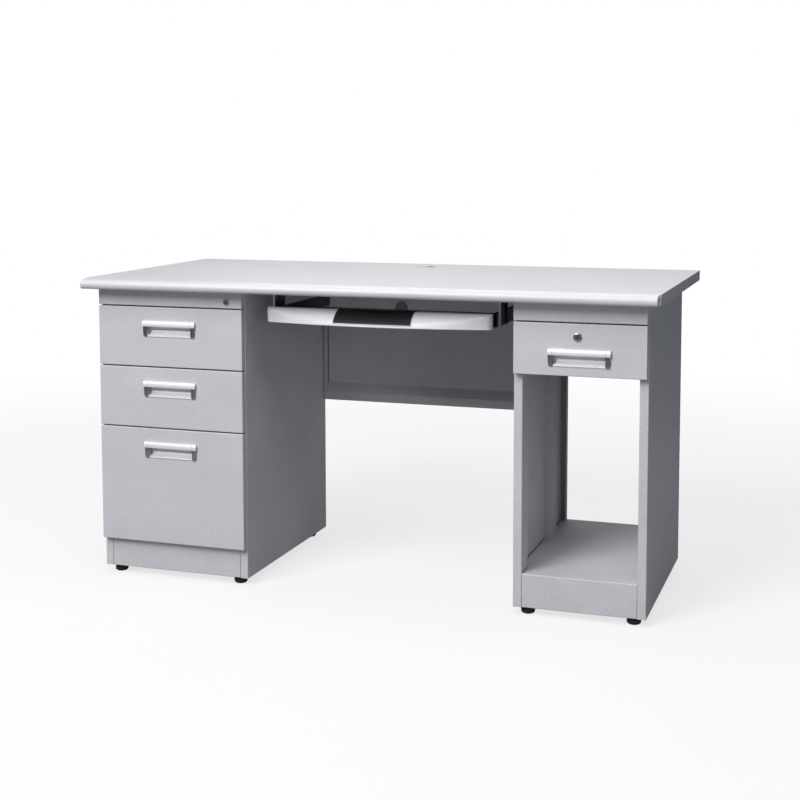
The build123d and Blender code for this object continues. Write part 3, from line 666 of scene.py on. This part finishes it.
def bay_floor_gap_shades():
    """Thin dark strips, painted shade, in the gaps between the computer bay's floor and its side sheets.
    """
    low, high = corners("right_base_pan")
    gaps = []
    for edge, inward in ((low.x, 1), (high.x, -1)):
        for inset, width, y in FLOOR_GAPS:
            x = sorted((edge + inward * inset, edge + inward * (inset + width)))
            gaps.append(box(x, y, (high.z - FLOOR_GAP_SUNK, high.z + FLOOR_GAP_PROUD)))
    piece("bay_floor_gap_shades", gaps, "insert_plastic", "desk")


def modesty_gap_shades():
    """Thin dark strips, painted shade, in the narrow gaps at each end of the modesty panel and along the
    folds beside its recessed face.
    """
    low, high = corners("modesty_panel")
    gaps = []
    for edge, inward in ((low.x, 1), (high.x, -1)):
        for start, end, y, bottom in MODESTY_GAPS:
            x = sorted((edge + inward * start, edge + inward * end))
            gaps.append(box(x, (y, y + MODESTY_GAP_DEPTH), (low.z + bottom, high.z - GAP_TOP)))
    piece("modesty_gap_shades", gaps, "insert_plastic", "desk")


def cable_cap_shadow_ring():
    """A dark ring round the cable cap in the modesty panel: painted shade for the gap round the cap."""
    low, high = corners("modesty_cable_cap")
    x, _, z = middle_of("modesty_cable_cap")
    radius = (high.x - low.x) / 2
    rings = [(radius - 0.5, 1.9), (radius - 0.5, -0.15), (radius + 0.3, 0.1), (radius + 0.3, 1.9)]
    ring = turned_hollow(rings, (x, low.y, z), (0, 1, 0), RING_STEPS)
    piece("cable_cap_shadow_gap", [ring], "insert_plastic", "desk")


def grommet_gap_shade():
    """A thin dark ring, painted shade, in the gap between the cable outlet's sleeve and its cap."""
    x, y, _ = middle_of("grommet_sleeve")
    top = corners("grommet_sleeve")[1].z
    (inner, outer), (bottom, lid) = GAP_SHADE_RADII, GAP_SHADE_DEPTHS
    rings = [(inner, -bottom), (inner, -lid), (outer, -lid), (outer, -bottom)]
    gap_shade = turned_hollow(rings, (x, y, top), (0, 0, 1), GAP_SHADE_STEPS)
    piece("grommet_gap_shade", [gap_shade], "insert_plastic", "desk")


def nose_seam():
    """The joint line where the nose meets the desktop's laminate."""
    low, high = corners("desktop_nose")
    strip = [(high.y + y, high.z + z) for y, z in NOSE_SEAM]
    piece("nose_joint", [prism(strip, "x", (low.x, high.x))], "edge_band", "desk")


# ---- locks --------------------------------------------------------------------------------
LOCKS = (("left", "desk", 5.55), ("right", "right_drawer", 6.55))   # side, body, radius of the bore
SLOT_HALF, SLOT_REACH, SLOT_DEPTH = 0.75, 0.62, (0.8, 2.0)   # the reach is a share of the bore


def lock_rim(side, body, bore):
    """A rounded plated rim and the barrel behind it."""
    low, high = corners(f"{side}_lock_body")
    x, _, z = middle_of(f"{side}_lock_body")
    rim, depth = (high.x - low.x) / 2, high.y - low.y
    rings = [(bore, 3.0), (bore, 0.5), (bore + 0.3, 0.1), (bore + 0.8, 0.0), (rim - 1.6, 0.3),
             (rim - 0.7, 0.9), (rim - 0.15, 1.7), (rim, 2.5), (rim, 3.0),
             (rim - 2.5, 3.0), (rim - 2.5, depth), (bore, depth)]
    shape = turned_hollow(rings, (x, low.y, z), (0, 1, 0), RING_STEPS)
    made = piece(f"{side}_lock_rim", [shape], "lock_chrome", body)
    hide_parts(f"{side}_lock_body")


def key_slot_shade(side, bore):
    """A dark block in the plug's key slot: painted shade for the slot's depth."""
    front = corners(f"{side}_lock_body")[0].y
    x, _, z = middle_of(f"{side}_lock_body")
    reach = bore * SLOT_REACH
    slot = box((x - SLOT_HALF, x + SLOT_HALF), [front + y for y in SLOT_DEPTH], (z - reach, z + reach))
    piece(f"{side}_key_slot_shade", [slot], "insert_plastic", f"{side}_lock")


# ---- stage, light and camera --------------------------------------------------------------
FLOOR_REACH = 6.0                  # metres, like all places and sizes in this section
FLOOR_TONES = [(0.3, (0.85, 0.85, 0.86)), (0.7, (0.88, 0.88, 0.89))]
FLOOR_FADE, FLOOR_ALPHA = (1.2, 3.6), 0.27
SURROUND_COLOUR, SURROUND_STRENGTH = (0.80, 0.87, 1.0, 1), 0.114
LIGHTS = (                         # name, place, aim, size, watts
    ("key", (-1.95, -5.1, 4.3), (0, 0, 0.4), (2.7, 2.7), 300),
    ("side_fill", (3.3, -3.7, 1.1), (0, 0, 0.35), (1.6, 1.4), 17),
    ("overhead", (0, -0.2, 3.0), (0, 0, 0.5), (2.4, 1.4), 22),
    ("overhead_front", (0.2, -1.7, 2.8), (0, -0.3, 0.5), (2.6, 0.9), 26),
    ("rear", (-0.5, 2.9, 2.7), (0, 0.2, 0.4), (2.8, 1.2), 31),
)
CAMERA_PLACE, CAMERA_ANGLES = (1.1438, -3.4082, 1.0430), (84.966, 0.198, 19.693)
CAMERA_LENS, CAMERA_SHIFT = 65.03, (0.04, -0.15)


def stage():
    """A plain pale floor that fades into a white surround."""
    outline = [(x * FLOOR_REACH, y * FLOOR_REACH, 0) for x, y in ((-1, -1), (1, -1), (1, 1), (-1, 1))]
    mesh = bpy.data.meshes.new("floor")
    mesh.from_pydata(outline, [], [(0, 1, 2, 3)])
    s = Shader("floor", 0.9, specular=0.1)
    s.colour(s.ramp(s.noise(0.7, 2), FLOOR_TONES))
    distance = s.tree.nodes.new("ShaderNodeVectorMath")
    distance.operation = "LENGTH"
    s.link(s.coords, distance.inputs[0])
    fade = s.tree.nodes.new("ShaderNodeMapRange")
    fade.interpolation_type = "SMOOTHSTEP"
    fade.inputs["From Min"].default_value, fade.inputs["From Max"].default_value = FLOOR_FADE
    fade.inputs["To Min"].default_value, fade.inputs["To Max"].default_value = FLOOR_ALPHA, 0.0
    s.link(distance.outputs["Value"], fade.inputs["Value"])
    s.link(fade.outputs["Result"], s.bsdf.inputs["Alpha"])
    mesh.materials.append(s.material)
    floor = bpy.data.objects.new("floor", mesh)
    bpy.context.scene.collection.objects.link(floor)


def surround():
    """White where the camera sees it, and a dim even light for everything else."""
    world = bpy.data.worlds.new("studio")
    bpy.context.scene.world = world
    world.use_nodes = True
    tree = world.node_tree
    seen = tree.nodes["Background"]
    seen.inputs["Color"].default_value = (1, 1, 1, 1)
    dim = tree.nodes.new("ShaderNodeBackground")
    dim.inputs["Color"].default_value = SURROUND_COLOUR
    dim.inputs["Strength"].default_value = SURROUND_STRENGTH
    rays = tree.nodes.new("ShaderNodeLightPath")
    choose = tree.nodes.new("ShaderNodeMixShader")
    tree.links.new(rays.outputs["Is Camera Ray"], choose.inputs["Fac"])
    tree.links.new(dim.outputs["Background"], choose.inputs[1])
    tree.links.new(seen.outputs["Background"], choose.inputs[2])
    tree.links.new(choose.outputs["Shader"], tree.nodes["World Output"].inputs["Surface"])


def area_light(name, place, aim, size, watts):
    """A rectangular light at a place, turned towards the point it aims at."""
    light = bpy.data.lights.new(name, "AREA")
    light.shape, light.size, light.size_y = "RECTANGLE", *size
    light.energy = watts
    lamp = bpy.data.objects.new(name, light)
    lamp.location = place
    lamp.rotation_euler = (Vector(aim) - Vector(place)).to_track_quat("-Z", "Y").to_euler()
    bpy.context.scene.collection.objects.link(lamp)


def camera():
    """The photo's viewpoint."""
    data = bpy.data.cameras.new("camera")
    data.lens = CAMERA_LENS
    data.shift_x, data.shift_y = CAMERA_SHIFT
    data.clip_end = 200
    view = bpy.data.objects.new("camera", data)
    view.location = CAMERA_PLACE
    view.rotation_euler = [math.radians(angle) for angle in CAMERA_ANGLES]
    bpy.context.scene.collection.objects.link(view)
    bpy.context.scene.camera = view


camera()
surround()
for light_values in LIGHTS:
    area_light(*light_values)
stage()

paint_cad_nodes()
for drawer_name in DRAWERS:
    handle(drawer_name)
    drawer_details(drawer_name)
    ball_cages(f"{drawer_name}_runners_middle", f"{drawer_name}_middle_runners")
ball_cages("tray_runners_middle", "tray_middle_runners")
tray_moulding()
tray_bead()
tray_insert()
desktop_screws()
bracket_hem_highlights()
plinth_seam_shades()
bay_floor_gap_shades()
for lock_side, lock_body, bore_radius in LOCKS:
    lock_rim(lock_side, lock_body, bore_radius)
    key_slot_shade(lock_side, bore_radius)
cable_cap_shadow_ring()
grommet_gap_shade()
modesty_gap_shades()
nose_seam()

bpy.context.scene.view_settings.view_transform = "Standard"
